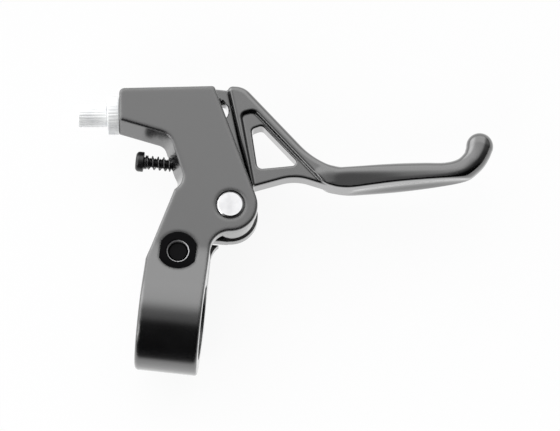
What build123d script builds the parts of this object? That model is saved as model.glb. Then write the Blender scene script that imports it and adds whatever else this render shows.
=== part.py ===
from build123d import *
from math import cos, radians, sin, tan
import os

os.makedirs("parts", exist_ok=True)

# Frame: the handlebar runs along X through the origin, the lever lies ahead of it on +Y,
# and the lever turns about a pin along Z. Sizes are in millimetres.

# Bar clamp
BAR_D = 22.2
BAR_ROOM = 0.05
CLAMP_WALL = 4.75
BAND_W = 18.6
BORE_R = BAR_D / 2 + BAR_ROOM
RING_R = BORE_R + CLAMP_WALL

# Bracket body and its lever slot
BODY_T = 17.0
SLOT_T = 8.6
SLOT_FOOT_Y = 20.7
SLOT_LEAN = 18.0
DRAFT = 15.0
FLAT_FROM_Y = 18.0
RING_SLOPE_FROM = 62.5
RUN_OUT_R = 12.0
NOSE_H = 12.6
ARMPIT_R = 6.0
CAST_R = 0.7
CLAMP_EDGE_R = 1.2
FAR = 120.0

# Lever pivot
PIVOT = Vector(13.8, 34.85)
EAR_R = 8.1
EAR_ROOM = 0.6
EAR_TANGENT = 26.5
PIN_R = 2.5
PIN_HEAD_R = 3.95
PIN_HEAD_ROOM = 0.45
PIN_HEAD_T = 2.2
PIN_PROUD = 0.3
PIN_TAIL = 1.9
CLIP_T = 0.7
CLIP_R = 4.6
CLIP_BAND = 1.5
CLIP_LUG_W = 2.2
CLIP_MOUTH = 3.2
CLIP_GROOVE_R = 2.0
BUSH_ROOM = 0.05
BUSH_WALL = 0.95
BUSH_FLANGE_R = 6.0
BUSH_FLANGE_T = 0.5
SIDE_ROOM = 0.1

# Lever
RIM_T = 10.0
BLADE_W = 13.4
TONGUE_T = SLOT_T - 2 * (SIDE_ROOM + BUSH_FLANGE_T)
HUB_R = 7.6
POCKET_DEPTH = 3.2
RIM_EDGE_R = 1.2
FINGER_ROUND = 0.15
BLADE_MID = Vector(67, 51.9)
BLADE_TILT = 11.2
BLADE_BACK = 3.2
BLADE_FROM = -26.0
BLADE_TO = 22.0
BLADE_ROOT_SHARE = 0.321
BLADE_TIP_SHARE = 0.366
BALL_MID = Vector(85.6, 60.8)
BALL_R = 5.7
GROOVE_L = 30.0
GROOVE_W = 6.4
GROOVE_DEPTH = 1.6

# Cable line, from the nipple in the lever out through the nose
NIPPLE = Vector(6.25, 64.4)
NIPPLE_R = 3.6
NIPPLE_WALL = 2.6
CABLE_TILT = 7.0
CABLE_SLIT = 2.2
NOSE_REACH = 29.0

# Cable adjuster
THREAD_R = 3.0
THREAD_ROOM = 0.05
THREAD_IN = 11.0
THREAD_DEPTH = 15.0
CABLE_R = 1.3
CABLE_ROOM = 0.5
LOCK_RING_R = 5.7
LOCK_RING_T = 3.5
KNOB_R = 3.35
KNOB_L = 8.5
KNOB_NECK = 0.3
RING_GAP = 0.1
RING_FLUTES = 34
KNOB_FLUTES = 22
FLUTE_R = 0.42
FLUTE_OUT = 0.14
HOUSING_R = 2.6
HOUSING_DEPTH = 6.5

# Reach screw
REACH_DROP = 13.57
REACH_R = 1.5
REACH_L = 16.0
REACH_TIP_X = 2.25
REACH_SEAT_X = -5.2
REACH_HEAD_R = 3.0
REACH_HEAD_T = 2.4
RECESS_L = 3.6
RECESS_W = 0.75
RECESS_DEPTH = 1.3
HEEL_GAP = 0.15
HEEL_R = 2.0
WIRE_R = 0.22
SPRING_R = 1.9
SPRING_PITCH = 1.5
SPRING_ROOM = 0.25

# Clamp bolt
BOLT_Y = 18.8
BOLT_R = 3.0
BOLT_HOLE_R = 3.3
BOLT_HEAD_R = 5.0
BOLT_HEAD_T = 6.0
BOLT_SOCKET = 5.0
BOLT_TOP_Z = 8.0
WASHER_R = 6.0
WASHER_T = 1.2
SEAT_Z = -7.4
SEAT_R = 6.4
NUT_R = 5.8
NUT_FLATS = 10.4
NUT_FLOOR_Z = 4.2
NUT_TOP_Z = 9.3
NUT_ROOM = 0.15
SPLIT_T = 1.4
SPLIT_Z = -1.9
SPLIT_END_Y = 26.6


def polar(centre, radius, angle):
    """Point at a radius and an angle in degrees from a centre in the XY plane."""
    return centre + Vector(cos(radians(angle)), sin(radians(angle))) * radius


def rims(part):
    """Edges round the near and far faces of a casting, without its upright edges."""
    lying = [e for e in part.edges() if abs(e.tangent_at(0.5).Z) < 0.9]
    return [e for e in lying if abs(e.center().Z) > SLOT_T / 2 or e.center().Y < -BAND_W / 2]


ON_FLOOR = (Align.CENTER, Align.CENTER, Align.MIN)
UNDER = (Align.CENTER, Align.CENTER, Align.MAX)

# Planes that place the adjuster, the reach screw and the pivot
cable_dir = Vector(cos(radians(CABLE_TILT)), sin(radians(CABLE_TILT)))
nose_end = NIPPLE - cable_dir * NOSE_REACH
cable_plane = Plane(nose_end, x_dir=(0, 0, 1), z_dir=-cable_dir)
reach_head = Vector(REACH_TIP_X - REACH_L, nose_end.Y - REACH_DROP)
reach_plane = Plane(reach_head, x_dir=(0, 0, 1), z_dir=(1, 0, 0))
pivot_top = Plane(PIVOT + Vector(0, 0, BODY_T / 2))
slot_lean = tan(radians(SLOT_LEAN))
spring_l = REACH_SEAT_X - reach_head.X
bush_r = PIN_R + BUSH_ROOM + BUSH_WALL

# Bracket plan: clamp band, arm, nose and the round of the pivot ear
ear_tangent = polar(PIVOT, EAR_R, EAR_TANGENT)
nose_top = polar(nose_end, NOSE_H / 2, CABLE_TILT + 90)
plan_corners = [
    ((BAND_W / 2, -RING_R - 1), 0),
    ((BAND_W / 2, PIVOT.Y), 0),
    (ear_tangent, 0),
    ((4.9, 70.9), 1.0),
    (nose_top, 1.6),
    (nose_end * 2 - nose_top, 0),
    ((-8, 50), 0),
    ((-2.4, 41), 4.0),
    ((-BAND_W / 2, 15.5), 0),
    ((-BAND_W / 2, -RING_R - 1), 0),
]
with BuildSketch() as plan:
    with BuildLine():
        FilletPolyline(*[c for c, r in plan_corners], radius=[r for c, r in plan_corners], close=True)
    make_face()
    with Locations(PIVOT):
        Circle(EAR_R)
    armpit = plan.vertices().sort_by_distance(Vector(BAND_W / 2, PIVOT.Y - EAR_R))[0]
    fillet(armpit, ARMPIT_R)

# Bracket side view: the clamp ring running out flat to the body
with BuildSketch(Plane.YZ) as side:
    Circle(RING_R)
    with Locations((FAR / 2, 0)):
        Rectangle(FAR, BODY_T)
    run_out = (FLAT_FROM_Y, BODY_T / 2)
    Polygon((0, 0), polar(Vector(0, 0), RING_R, RING_SLOPE_FROM), run_out, align=None)
    Polygon((0, 0), (run_out[0], -run_out[1]), polar(Vector(0, 0), RING_R, -RING_SLOPE_FROM), align=None)
    fillet(side.vertices().filter_by_position(Axis.X, FLAT_FROM_Y - 1, FLAT_FROM_Y + 1), RUN_OUT_R)

# Sloping underside of the nose, widest at mid thickness
with BuildSketch() as skirt:
    with BuildLine():
        FilletPolyline(
            (-FAR, 73.1), (-8.1, 52.5), (-2.6, 40.5), (-FAR, -20),
            (-FAR, -FAR), (FAR, -FAR), (FAR, FAR), (-FAR, FAR),
            radius=[0, 3.2, 2.5, 0, 0, 0, 0, 0], close=True,
        )
    make_face()

with BuildPart() as bracket:
    extrude(plan.sketch, RING_R + 1, both=True)
    extrude(side.sketch, FAR, both=True, mode=Mode.INTERSECT)
    extrude(skirt.sketch, RING_R + 1, both=True, taper=DRAFT, mode=Mode.INTERSECT)
    # Rounded cast edges, softest on the inboard edge of the clamp band
    inboard_x = -BAND_W / 2
    fillet([e for e in rims(bracket.part) if abs(e.center().X - inboard_x) < 0.05], CLAMP_EDGE_R)
    others = [e for e in rims(bracket.part) if e.center().X > inboard_x + 1 or e.center().Y > FLAT_FROM_Y]
    fillet(others, CAST_R)
    # Handlebar bore, and the split that frees the clamp's lower jaw
    with Locations(Rotation(0, 90, 0)):
        Cylinder(BORE_R, BAND_W + 2, mode=Mode.SUBTRACT)
    with Locations((0, SPLIT_END_Y / 2, SPLIT_Z)):
        Box(FAR, SPLIT_END_Y, SPLIT_T, mode=Mode.SUBTRACT)
    with Locations((0, SPLIT_END_Y - SPLIT_T / 2, SPLIT_Z)):
        Box(FAR, SPLIT_T, FAR, align=UNDER, mode=Mode.SUBTRACT)
    # Clamp bolt hole, nut pocket on the near face and bolt seat on the far face
    with Locations((0, BOLT_Y, 0)):
        Cylinder(BOLT_HOLE_R, FAR, mode=Mode.SUBTRACT)
    with BuildSketch(Plane((0, BOLT_Y, NUT_FLOOR_Z))):
        Circle(NUT_R + NUT_ROOM)
        Rectangle(NUT_FLATS + 2 * NUT_ROOM, FAR, mode=Mode.INTERSECT)
    extrude(amount=FAR, mode=Mode.SUBTRACT)
    with Locations((0, BOLT_Y, SEAT_Z)):
        Cylinder(SEAT_R, FAR, align=UNDER, mode=Mode.SUBTRACT)
    # Slot for the lever, open ahead and outboard
    with BuildSketch():
        Polygon(
            (BAND_W / 2, SLOT_FOOT_Y), (FAR, SLOT_FOOT_Y), (FAR, FAR),
            (BAND_W / 2 - (FAR - SLOT_FOOT_Y) * slot_lean, FAR), align=None,
        )
    extrude(amount=SLOT_T / 2, both=True, mode=Mode.SUBTRACT)
    # Pivot hole with a counterbore for the pin's head
    with Locations(PIVOT):
        Cylinder(PIN_R, FAR, mode=Mode.SUBTRACT)
    with Locations(pivot_top.offset(PIN_PROUD - PIN_HEAD_T)):
        Cylinder(PIN_HEAD_R + PIN_HEAD_ROOM, FAR, align=ON_FLOOR, mode=Mode.SUBTRACT)
    # Threaded hole for the adjuster, then the cable's way into the slot
    with Locations(cable_plane):
        Cylinder(THREAD_R + THREAD_ROOM, THREAD_DEPTH, align=UNDER, mode=Mode.SUBTRACT)
        Cylinder(CABLE_R + CABLE_ROOM, NOSE_REACH - NIPPLE_R, align=UNDER, mode=Mode.SUBTRACT)
    # Reach screw hole and the seat for its spring
    with Locations(reach_plane):
        Cylinder(REACH_R + THREAD_ROOM, REACH_L + 3, align=ON_FLOOR, mode=Mode.SUBTRACT)
        Cylinder(SPRING_R + WIRE_R + SPRING_ROOM, spring_l, align=ON_FLOOR, mode=Mode.SUBTRACT)

bracket.part.label = "bracket"
export_step(bracket.part, "parts/bracket.step")

# Lever plan: frame, finger blade and ball end
lever_corners = [
    ((8.7, 71.3), 1.6),
    ((14.9, 71.5), 7.0),
    ((39.6, 50.1), 12.0),
    ((79.4, 56.8), 4.0),
    ((82.4, 67.0), 3.2),
    ((89.6, 66.6), 3.2),
    ((90.8, 60.8), 3.0),
    ((84.2, 52.8), 8.0),
    ((45.0, 44.2), 20.0),
    ((30.8, 46.9), 12.0),
    ((20.0, 41.8), 0),
    ((14.0, 55.6), 40.0),
]
with BuildSketch() as lever_plan:
    with BuildLine():
        FilletPolyline(*[c for c, r in lever_corners], radius=[r for c, r in lever_corners], close=True)
    make_face()
    with Locations(PIVOT):
        Circle(EAR_R + EAR_ROOM, mode=Mode.SUBTRACT)

# Finger blade: a long spindle cut to the lever's plan, so that its faces are crowned
blade_plane = Plane(BLADE_MID, x_dir=polar(Vector(0, 0), 1, BLADE_TILT), z_dir=(0, 0, 1))
with BuildPart() as blade:
    with BuildSketch(blade_plane):
        with BuildLine():
            root = (BLADE_FROM, BLADE_ROOT_SHARE * BLADE_W)
            tip = (BLADE_TO, BLADE_TIP_SHARE * BLADE_W)
            ThreePointArc(root, (0, BLADE_W / 2), tip)
            Polyline(tip, (BLADE_TO, 0), (BLADE_FROM, 0), root)
        make_face()
    revolve(axis=Axis(blade_plane.origin, blade_plane.x_dir))
    extrude(lever_plan.sketch, FAR, both=True, mode=Mode.INTERSECT)
    along = [e for e in blade.edges() if abs(e.tangent_at(0.5).dot(blade_plane.x_dir)) > 0.5]
    fillet([e for e in along if abs(e.center().Z) > BLADE_W / 4], FINGER_ROUND * BLADE_W)

# Ball end: domed on both faces
with BuildPart() as ball_end:
    with Locations(BALL_MID):
        Sphere(BALL_R)
    extrude(lever_plan.sketch, FAR, both=True, mode=Mode.INTERSECT)

with BuildPart() as lever:
    extrude(lever_plan.sketch, RIM_T / 2, both=True)
    fillet([e for e in lever.edges() if abs(e.tangent_at(0.5).Z) < 0.9], RIM_EDGE_R)
    add(blade.part)
    add(ball_end.part)
    # Tongue that runs in the bracket's slot, with the heel that rests on the reach screw
    with BuildSketch():
        with Locations(PIVOT):
            Circle(HUB_R)
        with Locations(NIPPLE):
            Circle(NIPPLE_R + NIPPLE_WALL)
        make_hull()
        with Locations((REACH_TIP_X + HEEL_GAP + HEEL_R, reach_head.Y)):
            Circle(HEEL_R)
    extrude(amount=TONGUE_T / 2, both=True)
    # Pockets on both faces, and the window through the web between them
    with BuildSketch(Plane.XY.offset(RIM_T / 2 - POCKET_DEPTH)):
        with BuildLine():
            FilletPolyline(
                (13.4, 64.6), (17.2, 65.5), (37.8, 47.7), (19.4, 47.5),
                radius=[1.6, 1.8, 1.2, 1.8], close=True,
            )
        make_face()
    pocket = extrude(amount=FAR, mode=Mode.SUBTRACT)
    mirror(pocket, about=Plane.XY, mode=Mode.SUBTRACT)
    with BuildSketch():
        with BuildLine():
            FilletPolyline(
                (17.4, 59.1), (20.1, 60.9), (32.5, 50.3), (20.4, 48.3),
                radius=[1.2, 1.2, 1.2, 1.6], close=True,
            )
        make_face()
    extrude(amount=FAR, both=True, mode=Mode.SUBTRACT)
    # Long hollow along the back of the blade
    with BuildSketch(blade_plane):
        with Locations((0, -BLADE_BACK)):
            SlotOverall(GROOVE_L, 2 * GROOVE_DEPTH)
    extrude(amount=GROOVE_W / 2, both=True, mode=Mode.SUBTRACT)
    # Hub bore, cable nipple hole and the slit that the cable swings in
    with Locations(PIVOT):
        Cylinder(bush_r, FAR, mode=Mode.SUBTRACT)
    with Locations(NIPPLE):
        Cylinder(NIPPLE_R, FAR, mode=Mode.SUBTRACT)
    with BuildSketch():
        Polygon(NIPPLE, polar(NIPPLE, 12, 180), polar(NIPPLE, 12, 214), align=None)
    extrude(amount=CABLE_SLIT / 2, both=True, mode=Mode.SUBTRACT)

lever.part.label = "lever"
export_step(lever.part, "parts/lever.step")

# Flanged bushes in the lever's hub
with BuildPart() as pivot_bush_near:
    with BuildSketch(Plane(PIVOT + Vector(0, 0, TONGUE_T / 2))):
        Circle(BUSH_FLANGE_R)
        Circle(PIN_R + BUSH_ROOM, mode=Mode.SUBTRACT)
    extrude(amount=BUSH_FLANGE_T)
    with BuildSketch(Plane(PIVOT + Vector(0, 0, TONGUE_T / 2))):
        Circle(bush_r)
        Circle(PIN_R + BUSH_ROOM, mode=Mode.SUBTRACT)
    extrude(amount=SIDE_ROOM - TONGUE_T / 2)

with BuildPart() as pivot_bush_far:
    mirror(pivot_bush_near.part, about=Plane.XY)

pivot_bush_near.part.label = "pivot_bush_near"
export_step(pivot_bush_near.part, "parts/pivot_bush_near.step")
pivot_bush_far.part.label = "pivot_bush_far"
export_step(pivot_bush_far.part, "parts/pivot_bush_far.step")

# Pivot pin, with a groove for its clip just outside the far ear
with BuildPart() as pivot_pin:
    with Locations(pivot_top.offset(PIN_PROUD)):
        Cylinder(PIN_HEAD_R, PIN_HEAD_T, align=UNDER)
        Cylinder(PIN_R, BODY_T + PIN_PROUD + PIN_TAIL, align=UNDER)
    chamfer(pivot_pin.edges().group_by(Axis.Z)[-1], 0.4)
    chamfer(pivot_pin.edges().group_by(Axis.Z)[0], 0.4)
    with BuildSketch(pivot_top.offset(-BODY_T)):
        Circle(PIN_R + 1)
        Circle(CLIP_GROOVE_R, mode=Mode.SUBTRACT)
    extrude(amount=-CLIP_T, mode=Mode.SUBTRACT)

pivot_pin.part.label = "pivot_pin"
export_step(pivot_pin.part, "parts/pivot_pin.step")

# Retaining clip: a sprung ring with three lugs that grip the groove
with BuildPart() as pivot_clip:
    with BuildSketch(pivot_top.offset(-BODY_T)):
        Circle(CLIP_R)
        Circle(CLIP_R - CLIP_BAND, mode=Mode.SUBTRACT)
        with PolarLocations((CLIP_GROOVE_R + CLIP_R) / 2, 3, start_angle=90, angular_range=180):
            Rectangle(CLIP_R - CLIP_GROOVE_R - CLIP_BAND / 2, CLIP_LUG_W)
        Circle(CLIP_GROOVE_R, mode=Mode.SUBTRACT)
        with Locations((CLIP_R, 0)):
            Rectangle(CLIP_R, CLIP_MOUTH, mode=Mode.SUBTRACT)
    extrude(amount=-CLIP_T)

pivot_clip.part.label = "pivot_clip"
export_step(pivot_clip.part, "parts/pivot_clip.step")

# Clamp nut: double-D, let into the bracket's near face
with BuildPart() as clamp_nut:
    with BuildSketch(Plane((0, BOLT_Y, NUT_FLOOR_Z))):
        Circle(NUT_R)
        Rectangle(NUT_FLATS, FAR, mode=Mode.INTERSECT)
        Circle(BOLT_R + THREAD_ROOM, mode=Mode.SUBTRACT)
    extrude(amount=NUT_TOP_Z - NUT_FLOOR_Z)
    top_rounds = clamp_nut.edges().group_by(Axis.Z)[-1].filter_by(GeomType.CIRCLE)
    chamfer(top_rounds.sort_by(SortBy.RADIUS)[0], 0.6)

clamp_nut.part.label = "clamp_nut"
export_step(clamp_nut.part, "parts/clamp_nut.step")

# Washer and socket-head bolt, from the far side
with BuildPart() as clamp_washer:
    with BuildSketch(Plane((0, BOLT_Y, SEAT_Z))):
        Circle(WASHER_R)
        Circle(BOLT_HOLE_R, mode=Mode.SUBTRACT)
    extrude(amount=-WASHER_T)
    chamfer(clamp_washer.edges().group_by(Axis.Z)[0].sort_by(SortBy.LENGTH)[-1], 0.25)

clamp_washer.part.label = "clamp_washer"
export_step(clamp_washer.part, "parts/clamp_washer.step")

with BuildPart() as clamp_bolt:
    with Locations((0, BOLT_Y, SEAT_Z - WASHER_T)):
        Cylinder(BOLT_HEAD_R, BOLT_HEAD_T, align=UNDER)
        Cylinder(BOLT_R, BOLT_TOP_Z - SEAT_Z + WASHER_T, align=ON_FLOOR)
    fillet(clamp_bolt.edges().group_by(Axis.Z)[0], 0.6)
    chamfer(clamp_bolt.edges().group_by(Axis.Z)[-1], 0.6)
    with BuildSketch(clamp_bolt.faces().sort_by(Axis.Z)[0]):
        RegularPolygon(BOLT_SOCKET / 2, 6, major_radius=False)
    extrude(amount=-BOLT_HEAD_T / 2, mode=Mode.SUBTRACT)

clamp_bolt.part.label = "clamp_bolt"
export_step(clamp_bolt.part, "parts/clamp_bolt.step")

# Lock ring against the end of the nose
with BuildPart() as adjuster_lock_ring:
    with BuildSketch(cable_plane.offset(RING_GAP)):
        Circle(LOCK_RING_R)
        with PolarLocations(LOCK_RING_R + FLUTE_OUT, RING_FLUTES):
            Circle(FLUTE_R, mode=Mode.SUBTRACT)
        Circle(THREAD_R + THREAD_ROOM, mode=Mode.SUBTRACT)
    extrude(amount=LOCK_RING_T)

adjuster_lock_ring.part.label = "adjuster_lock_ring"
export_step(adjuster_lock_ring.part, "parts/adjuster_lock_ring.step")

# Barrel: fluted knob with the housing socket, and the threaded shank
knob_plane = cable_plane.offset(RING_GAP + LOCK_RING_T + KNOB_NECK)
with BuildPart() as adjuster_barrel:
    with BuildSketch(knob_plane):
        Circle(KNOB_R)
        with PolarLocations(KNOB_R + FLUTE_OUT, KNOB_FLUTES):
            Circle(FLUTE_R, mode=Mode.SUBTRACT)
    extrude(amount=KNOB_L)
    with Locations(knob_plane):
        Cylinder(THREAD_R, RING_GAP + LOCK_RING_T + KNOB_NECK + THREAD_IN, align=UNDER)
        Cylinder(CABLE_R, FAR, mode=Mode.SUBTRACT)
    with Locations(knob_plane.offset(KNOB_L)):
        Cylinder(HOUSING_R, HOUSING_DEPTH, align=UNDER, mode=Mode.SUBTRACT)

adjuster_barrel.part.label = "adjuster_barrel"
export_step(adjuster_barrel.part, "parts/adjuster_barrel.step")

# Reach screw: pan head with a cross recess
with BuildPart() as reach_screw:
    with Locations(reach_plane):
        Cylinder(REACH_HEAD_R, REACH_HEAD_T, align=UNDER)
        Cylinder(REACH_R, REACH_L, align=ON_FLOOR)
    fillet(reach_screw.edges().group_by(Axis.X)[0], 0.9)
    chamfer(reach_screw.edges().group_by(Axis.X)[-1], 0.4)
    with BuildSketch(reach_plane.offset(-REACH_HEAD_T)):
        Rectangle(RECESS_L, RECESS_W)
        Rectangle(RECESS_W, RECESS_L)
    extrude(amount=RECESS_DEPTH, mode=Mode.SUBTRACT)

reach_screw.part.label = "reach_screw"
export_step(reach_screw.part, "parts/reach_screw.step")

# Spring between the screw's head and its seat in the bracket
with BuildPart() as reach_spring:
    with BuildLine() as coil:
        Helix(
            SPRING_PITCH, spring_l - 2 * WIRE_R, SPRING_R,
            center=reach_head + Vector(WIRE_R, 0), direction=(1, 0, 0),
        )
    with BuildSketch(Plane(coil.line @ 0, z_dir=coil.line % 0)):
        Circle(WIRE_R)
    sweep(path=coil.line, is_frenet=True)

reach_spring.part.label = "reach_spring"
export_step(reach_spring.part, "parts/reach_spring.step")
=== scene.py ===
"""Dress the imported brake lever: soft casting, paint, metal, finer screws and spring, light and camera."""

import logging
import math
from collections.abc import Callable, Sequence
from dataclasses import dataclass, field
from enum import Enum

import bmesh
import bpy
import numpy as np
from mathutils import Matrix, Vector


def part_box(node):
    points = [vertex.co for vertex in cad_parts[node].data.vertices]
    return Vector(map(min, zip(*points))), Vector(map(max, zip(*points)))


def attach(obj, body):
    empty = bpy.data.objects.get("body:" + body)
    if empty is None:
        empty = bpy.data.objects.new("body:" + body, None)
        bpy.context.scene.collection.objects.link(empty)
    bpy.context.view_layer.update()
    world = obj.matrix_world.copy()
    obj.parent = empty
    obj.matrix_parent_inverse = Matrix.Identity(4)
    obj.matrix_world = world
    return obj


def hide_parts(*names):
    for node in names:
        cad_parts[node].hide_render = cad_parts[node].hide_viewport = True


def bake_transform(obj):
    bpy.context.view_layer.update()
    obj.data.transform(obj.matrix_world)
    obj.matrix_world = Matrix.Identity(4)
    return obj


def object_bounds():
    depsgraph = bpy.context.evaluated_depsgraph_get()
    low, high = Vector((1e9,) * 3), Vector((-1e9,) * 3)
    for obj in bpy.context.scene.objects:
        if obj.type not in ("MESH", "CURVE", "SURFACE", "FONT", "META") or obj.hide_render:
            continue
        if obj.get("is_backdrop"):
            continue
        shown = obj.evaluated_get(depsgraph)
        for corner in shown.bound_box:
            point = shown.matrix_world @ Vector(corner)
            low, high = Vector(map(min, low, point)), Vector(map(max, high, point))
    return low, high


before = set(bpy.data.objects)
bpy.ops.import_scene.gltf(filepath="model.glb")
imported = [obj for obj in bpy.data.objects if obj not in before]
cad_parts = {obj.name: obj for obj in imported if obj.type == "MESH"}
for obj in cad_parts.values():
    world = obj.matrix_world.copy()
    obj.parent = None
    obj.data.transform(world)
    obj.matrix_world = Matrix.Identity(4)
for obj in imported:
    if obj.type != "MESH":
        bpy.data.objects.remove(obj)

log = logging.getLogger("brake_lever")

MM = 0.001
TURN = 2 * math.pi
# No divisor is let below this
GUARD = 1e-6
# Points of a mesh that are nearer than this are joined
WELD_MM = 0.002
# Slack where a ring's place or radius is compared with a piece's size
NEAR_MM = 0.01
# Radius of the smallest ring, which closes a cone at the axis
CENTRE_MM = 0.02
# Turn from one point to the next along an outline's round corner
CORNER_STEP_DEG = 3
# Noise levels between which a second colour comes in
EARLY = (0.3, 0.7)
LATE = (0.35, 0.75)

Array = np.ndarray
Piece = bpy.types.Object
Socket = bpy.types.NodeSocket
Sockets = dict[str, object]
Pair = tuple[float, float]
Place = tuple[float, float, float]
Colour = tuple[float, float, float]
Tint = Colour | Socket
Outline = Sequence[Pair]
Plan = Sequence[Place]
Profile = tuple[tuple[float, ...], tuple[float, ...]]
Shape = Callable[[float, float, float], Pair]
Field = Callable[[Array, Array, Array], Array]


class Body(Enum):
    """The moving bodies that pieces ride on."""

    BRACKET = "bracket"
    LEVER = "lever"
    LOCK_RING = "lock_ring"
    BARREL = "barrel"
    SPRING = "reach_spring"
    SCREW = "reach_screw"


class Slot(Enum):
    """The material slots of the part."""

    LEVER_BLACK = "lever_black"
    BRIGHT_ALLOY = "bright_alloy"
    BLACK_STEEL = "black_steel"
    SPRING_STEEL = "spring_steel"


class Value:
    """One number in a node tree; arithmetic on it adds Math nodes."""

    def __init__(self, sheet: "Sheet", socket: Socket) -> None:
        """Hold a number's output socket and the sheet it is on."""
        self.sheet = sheet
        self.socket = socket

    def _math(self, operation: str, *terms: "Value | float") -> "Value":
        """Add one Math node over the terms and give its result."""
        node = self.sheet.add("ShaderNodeMath", {"operation": operation}, dict(enumerate(terms)))
        return Value(self.sheet, node.outputs[0])

    def __add__(self, other: "Value | float") -> "Value":
        """Give self + other."""
        return self._math("ADD", self, other)

    def __radd__(self, other: float) -> "Value":
        """Give other + self."""
        return self._math("ADD", other, self)

    def __sub__(self, other: "Value | float") -> "Value":
        """Give self - other."""
        return self._math("SUBTRACT", self, other)

    def __rsub__(self, other: float) -> "Value":
        """Give other - self."""
        return self._math("SUBTRACT", other, self)

    def __mul__(self, other: "Value | float") -> "Value":
        """Give self * other."""
        return self._math("MULTIPLY", self, other)

    def __rmul__(self, other: float) -> "Value":
        """Give other * self."""
        return self._math("MULTIPLY", other, self)

    def most(self, other: "Value | float") -> "Value":
        """Give the larger of the two."""
        return self._math("MAXIMUM", self, other)

    def step(self, low: float, high: float) -> "Value":
        """Rise smoothly from 0 at low to 1 at high.

        Args:
            low: The value up to which the result is 0.
            high: The value from which the result is 1.

        Returns:
            The eased share between the two.
        """
        settings = {"interpolation_type": "SMOOTHSTEP"}
        node = self.sheet.add("ShaderNodeMapRange", settings, {0: self, 1: low, 2: high})
        return Value(self.sheet, node.outputs[0])


class Sheet:
    """A node tree that is emptied and then written node by node."""

    def __init__(self, tree: bpy.types.NodeTree) -> None:
        """Empty the tree."""
        self.tree = tree
        tree.nodes.clear()

    def add(
        self,
        kind: str,
        settings: dict[str, object] | None = None,
        sockets: dict[str | int, object] | None = None,
    ) -> bpy.types.Node:
        """Add a node.

        Args:
            kind: The node's type.
            settings: Its properties, which are set first.
            sockets: A number, colour, Value or output socket for each input, by name or place.

        Returns:
            The new node.
        """
        node = self.tree.nodes.new(kind)
        for key, value in (settings or {}).items():
            setattr(node, key, value)
        for key, value in (sockets or {}).items():
            self.put(node.inputs[key], value)
        return node

    def put(self, socket: Socket, value: object) -> None:
        """Link a Value or an output socket to an input, or set the input's own number.

        Args:
            socket: The input to fill.
            value: What goes in.
        """
        if isinstance(value, Value):
            self.tree.links.new(value.socket, socket)
        elif isinstance(value, Socket):
            self.tree.links.new(value, socket)
        else:
            socket.default_value = value

    def place(self) -> Socket:
        """Give the point on the piece, in metres in the part's own frame."""
        return self.add("ShaderNodeTexCoord").outputs["Object"]

    def noise(self, where: Socket | Value, width_mm: float, detail: float = 2.0) -> Value:
        """Give soft noise from 0 to 1.

        Args:
            where: The point to read it at, or a distance in metres for tool marks along it.
            width_mm: The size of one lump or mark.
            detail: How many finer octaves it has.

        Returns:
            The noise's value.
        """
        kind, key = ("1D", "W") if isinstance(where, Value) else ("3D", "Vector")
        sockets = {key: where, "Scale": 1 / (width_mm * MM), "Detail": detail}
        return Value(self, self.add("ShaderNodeTexNoise", {"noise_dimensions": kind}, sockets).outputs[0])

    def part(self, vector: Socket, direction: Sequence[float]) -> Value:
        """Give how far a vector goes in one direction."""
        return Value(self, self.vector("DOT_PRODUCT", vector, tuple(direction)).outputs["Value"])

    def along(self, where: Socket, axis: "Axis") -> Value:
        """Give the distance along an axis, in metres."""
        return self.part(self.vector("SUBTRACT", where, tuple(axis.start)).outputs[0], axis.along)

    def out(self, where: Socket, axis: "Axis") -> Value:
        """Give the distance out from an axis.

        Args:
            where: The point to measure at.
            axis: The line to measure from.

        Returns:
            The distance in metres.
        """
        away = self.vector("SUBTRACT", where, tuple(axis.start)).outputs[0]
        across = self.vector("CROSS_PRODUCT", away, tuple(axis.along)).outputs[0]
        length = self.add("ShaderNodeVectorMath", {"operation": "LENGTH"}, {0: across})
        return Value(self, length.outputs["Value"])

    def vector(self, operation: str, first: object, second: object) -> bpy.types.Node:
        """Add a Vector Math node on two vectors."""
        return self.add("ShaderNodeVectorMath", {"operation": operation}, {0: first, 1: second})

    def mix(self, share: Value, first: Tint, second: Tint) -> Socket:
        """Mix two colours.

        Args:
            share: How much of the second colour shows.
            first: The colour, or a colour's socket, at share 0.
            second: The one at share 1.

        Returns:
            The mixed colour's socket.
        """
        ends = [(*end, 1.0) if isinstance(end, tuple) else end for end in (first, second)]
        sockets = {0: share, 6: ends[0], 7: ends[1]}
        return self.add("ShaderNodeMix", {"data_type": "RGBA"}, sockets).outputs[2]

    def bump(self, height: Value, depth_mm: float, edge_mm: float = 0.0) -> Socket:
        """Turn a height into a bumped normal.

        Args:
            height: The height, from 0 to 1.
            depth_mm: How deep a height of 1 is.
            edge_mm: How wide the paint runs soft over an edge.

        Returns:
            The normal's socket.
        """
        sockets = {"Distance": depth_mm * MM, "Height": height}
        if edge_mm:
            soft = self.add("ShaderNodeBevel", {"samples": 6}, {"Radius": edge_mm * MM})
            sockets["Normal"] = soft.outputs[0]
        return self.add("ShaderNodeBump", None, sockets).outputs[0]


def around(middle: float, *swings: tuple[Value, float]) -> Value:
    """Give a number that swings about its middle.

    Args:
        middle: The number to swing about.
        swings: Noises from 0 to 1, each with its full swing.

    Returns:
        The uneven number.
    """
    total = middle - sum(swing for _, swing in swings) / 2
    for noise, swing in swings:
        total = total + noise * swing
    return total


def stand(name: str, data: bpy.types.ID) -> Piece:
    """Stand a mesh, a lamp or a camera in the scene.

    Args:
        name: The object's name.
        data: What the object holds.

    Returns:
        The new object.
    """
    item = bpy.data.objects.new(name, data)
    bpy.context.scene.collection.objects.link(item)
    return item


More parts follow.
